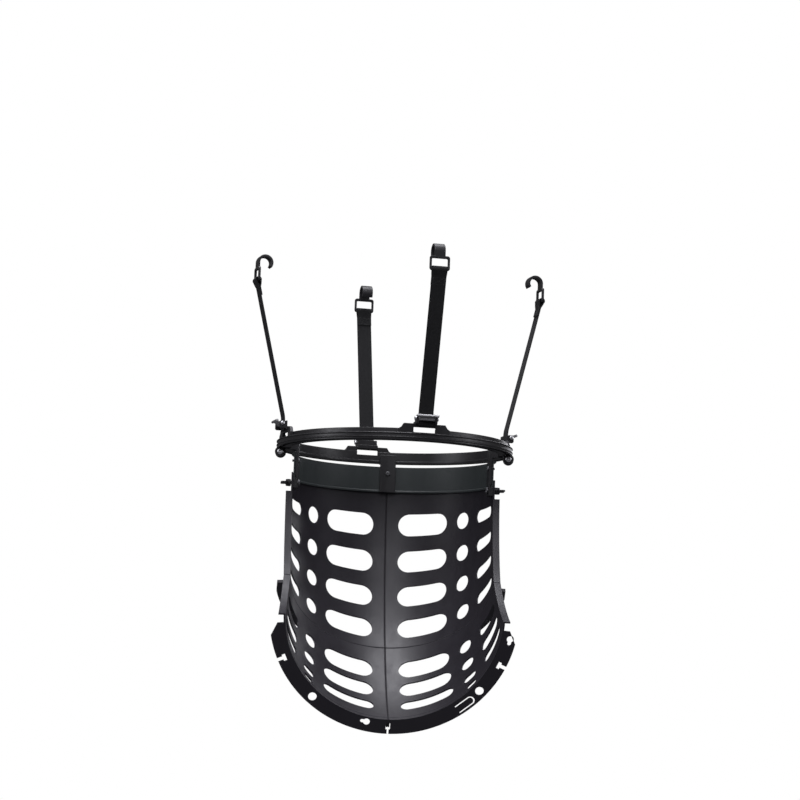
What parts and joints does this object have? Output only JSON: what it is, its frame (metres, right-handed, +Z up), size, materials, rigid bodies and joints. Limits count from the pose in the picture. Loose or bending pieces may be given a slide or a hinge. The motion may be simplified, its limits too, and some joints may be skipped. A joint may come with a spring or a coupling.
{
  "type": "basketball return chute",
  "caption": "Ball return that hangs under a basketball hoop on webbing straps: a ring with a swivelling half-round slotted chute that turns the dropping ball back to the thrower.",
  "frame": {"origin": "centre of the circle that the hoop's rod makes, at the rod's mid height", "axes": "+Z up along the swivel axis, the chute's mouth faces -Y, +X to the right seen from the front"},
  "size_m": [0.4946, 0.4946, 0.7807],
  "materials": {
    "plastic": "moulded satin black",
    "collar": "moulded dark grey",
    "webbing": "woven black webbing",
    "steel": "zinc plated",
    "lever_steel": "pressed steel"
  },
  "bodies": {
    "hanger": {"ring_front_half": "plastic", "ring_rear_half": "plastic", "ring_bolt_left": "steel", "ring_bolt_right": "steel", "ring_nut_left": "steel", "ring_nut_right": "steel", "strap_front": "webbing", "strap_right": "webbing", "strap_rear": "webbing", "strap_left": "webbing", "buckle_frame_front": "plastic", "buckle_frame_right": "plastic", "buckle_frame_rear": "plastic", "buckle_frame_left": "plastic", "buckle_pin_front": "steel", "buckle_pin_right": "steel", "buckle_pin_rear": "steel", "buckle_pin_left": "steel"},
    "carriage": {"collar_band": "collar", "collar_clip_left": "plastic", "collar_clip_rear": "plastic", "collar_clip_right": "plastic", "chute_upper_left": "plastic", "chute_upper_right": "plastic", "chute_lower_left": "plastic", "chute_lower_right": "plastic", "clip_screw_left": "steel", "clip_screw_rear": "steel", "clip_screw_right": "steel", "seam_bolt_1": "steel", "seam_bolt_2": "steel", "seam_bolt_3": "steel", "seam_nut_1": "steel", "seam_nut_2": "steel", "seam_nut_3": "steel", "joint_bolt_left_outer": "steel", "joint_bolt_left_inner": "steel", "joint_bolt_right_inner": "steel", "joint_bolt_right_outer": "steel", "joint_nut_left_outer": "steel", "joint_nut_left_inner": "steel", "joint_nut_right_inner": "steel", "joint_nut_right_outer": "steel", "side_bolt_left": "steel", "side_bolt_right": "steel"},
    "hook_front": {"rim_hook_front": "plastic"},
    "hook_right": {"rim_hook_right": "plastic"},
    "hook_rear": {"rim_hook_rear": "plastic"},
    "hook_left": {"rim_hook_left": "plastic"},
    "lever_front": {"buckle_lever_front": "lever_steel"},
    "lever_right": {"buckle_lever_right": "lever_steel"},
    "lever_rear": {"buckle_lever_rear": "lever_steel"},
    "lever_left": {"buckle_lever_left": "lever_steel"},
    "wing_left": {"wing_nut_left": "plastic"},
    "wing_right": {"wing_nut_right": "plastic"}
  },
  "joints": [
    {"name": "chute_swivel", "type": "hinge", "parent": "hanger", "child": "carriage", "pos_m": [0, 0, -0.29075], "axis": [0, 0, 1], "continuous": true},
    {"name": "hook_swing_front", "type": "hinge", "parent": "hanger", "child": "hook_front", "pos_m": [0.04661, -0.23976, -0.02975], "axis": [0.9816, 0.1908, 0], "range_deg": [-20, 20]},
    {"name": "hook_swing_right", "type": "hinge", "parent": "hanger", "child": "hook_right", "pos_m": [0.23976, 0.04661, -0.02975], "axis": [-0.1908, 0.9816, 0], "range_deg": [-20, 20]},
    {"name": "hook_swing_rear", "type": "hinge", "parent": "hanger", "child": "hook_rear", "pos_m": [-0.04661, 0.23976, -0.02975], "axis": [-0.9816, -0.1908, 0], "range_deg": [-20, 20]},
    {"name": "hook_swing_left", "type": "hinge", "parent": "hanger", "child": "hook_left", "pos_m": [-0.23976, -0.04661, -0.02975], "axis": [0.1908, -0.9816, 0], "range_deg": [-20, 20]},
    {"name": "lever_press_front", "type": "hinge", "parent": "hanger", "child": "lever_front", "pos_m": [0.03744, -0.19259, -0.2655], "axis": [0.9816, 0.1908, 0], "range_deg": [0, 35], "stiffness_Nm_per_rad": 0.03, "springref_deg": -17.19},
    {"name": "lever_press_right", "type": "hinge", "parent": "hanger", "child": "lever_right", "pos_m": [0.19259, 0.03744, -0.2655], "axis": [-0.1908, 0.9816, 0], "range_deg": [0, 35], "stiffness_Nm_per_rad": 0.03, "springref_deg": -17.19},
    {"name": "lever_press_rear", "type": "hinge", "parent": "hanger", "child": "lever_rear", "pos_m": [-0.03744, 0.19259, -0.2655], "axis": [-0.9816, -0.1908, 0], "range_deg": [0, 35], "stiffness_Nm_per_rad": 0.03, "springref_deg": -17.19},
    {"name": "lever_press_left", "type": "hinge", "parent": "hanger", "child": "lever_left", "pos_m": [-0.19259, -0.03744, -0.2655], "axis": [0.1908, -0.9816, 0], "range_deg": [0, 35], "stiffness_Nm_per_rad": 0.03, "springref_deg": -17.19},
    {"name": "wing_turn_left", "type": "hinge", "parent": "carriage", "child": "wing_left", "pos_m": [-0.1694, 0.00968, -0.357], "axis": [-1, 0, 0], "continuous": true},
    {"name": "wing_turn_right", "type": "hinge", "parent": "carriage", "child": "wing_right", "pos_m": [0.1694, 0.00968, -0.357], "axis": [1, 0, 0], "continuous": true}
  ]
}
